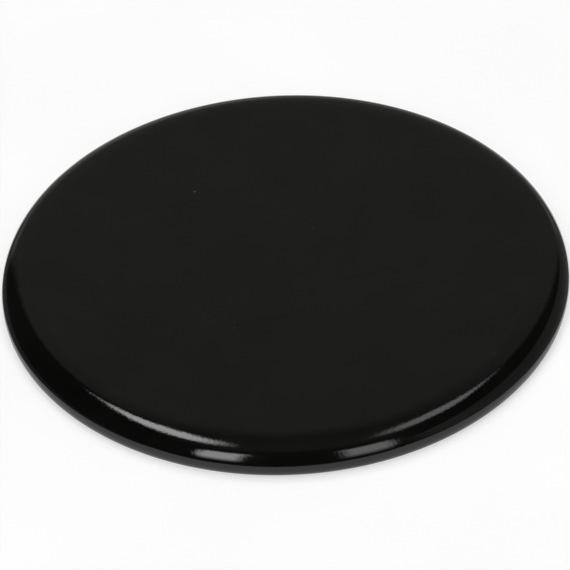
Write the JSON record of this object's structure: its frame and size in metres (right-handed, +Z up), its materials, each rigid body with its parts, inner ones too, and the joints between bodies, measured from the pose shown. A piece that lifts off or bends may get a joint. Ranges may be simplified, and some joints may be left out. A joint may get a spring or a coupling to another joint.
{
  "type": "gas burner cap",
  "caption": "Round gas burner cap in gloss black enamelled steel, with a flat top, a round edge and a hollow underside with a plain locating rib; closes a burner head from above.",
  "frame": {"origin": "middle of the plane that the cap's foot stands on", "axes": "+Z up along the cap's axis, out of the flat top; X and Y are square to it, and the round cap has no front"},
  "size_m": [0.1, 0.1, 0.0055],
  "materials": {
    "black_enamel": "gloss black vitreous enamel on steel"
  },
  "bodies": {
    "root": {"burner_cap": "black_enamel"}
  },
  "joints": []
}
